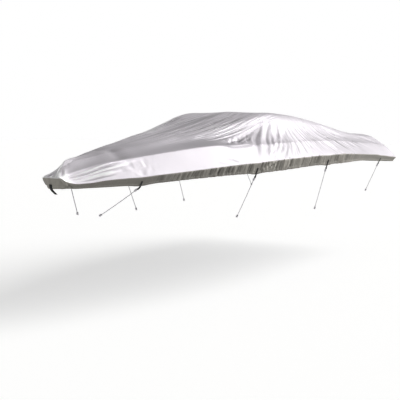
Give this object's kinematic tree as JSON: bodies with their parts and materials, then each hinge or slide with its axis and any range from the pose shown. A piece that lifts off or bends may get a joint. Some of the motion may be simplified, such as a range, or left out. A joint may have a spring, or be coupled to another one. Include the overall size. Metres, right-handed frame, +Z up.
{
  "type": "boat cover",
  "caption": "Fitted boat cover of silver polyester, raised at the crown, with an elastic hem, webbing loops and knotted tie ropes.",
  "frame": {"origin": "inner face of the cloth at the middle of the crown, where the cover is held up", "axes": "+X to the bow, +Y to port, +Z up"},
  "size_m": [6.518, 2.4886, 1.2562],
  "materials": {
    "silver_polyester": "woven, matt with a faint sheen",
    "black_webbing": "woven, matt",
    "pale_rope": "braided, matt"
  },
  "bodies": {
    "root": {"cover_cloth": "silver_polyester", "bow_strap": "black_webbing", "tie_loop_port_1": "black_webbing", "tie_loop_port_2": "black_webbing", "tie_loop_port_3": "black_webbing", "tie_loop_port_4": "black_webbing", "tie_loop_starboard_1": "black_webbing", "tie_loop_starboard_2": "black_webbing", "tie_loop_starboard_3": "black_webbing", "tie_loop_starboard_4": "black_webbing", "tie_knot_port_1": "pale_rope", "tie_knot_port_2": "pale_rope", "tie_knot_port_3": "pale_rope", "tie_knot_port_4": "pale_rope", "tie_knot_starboard_1": "pale_rope", "tie_knot_starboard_2": "pale_rope", "tie_knot_starboard_3": "pale_rope", "tie_knot_starboard_4": "pale_rope", "tie_rope_port_1": "pale_rope", "tie_rope_port_2": "pale_rope", "tie_rope_port_3": "pale_rope", "tie_rope_port_4": "pale_rope", "tie_rope_starboard_1": "pale_rope", "tie_rope_starboard_2": "pale_rope", "tie_rope_starboard_3": "pale_rope", "tie_rope_starboard_4": "pale_rope", "rope_end_knot_port_1": "pale_rope", "rope_end_knot_port_2": "pale_rope", "rope_end_knot_port_3": "pale_rope", "rope_end_knot_port_4": "pale_rope", "rope_end_knot_starboard_1": "pale_rope", "rope_end_knot_starboard_2": "pale_rope", "rope_end_knot_starboard_3": "pale_rope", "rope_end_knot_starboard_4": "pale_rope"}
  },
  "joints": []
}
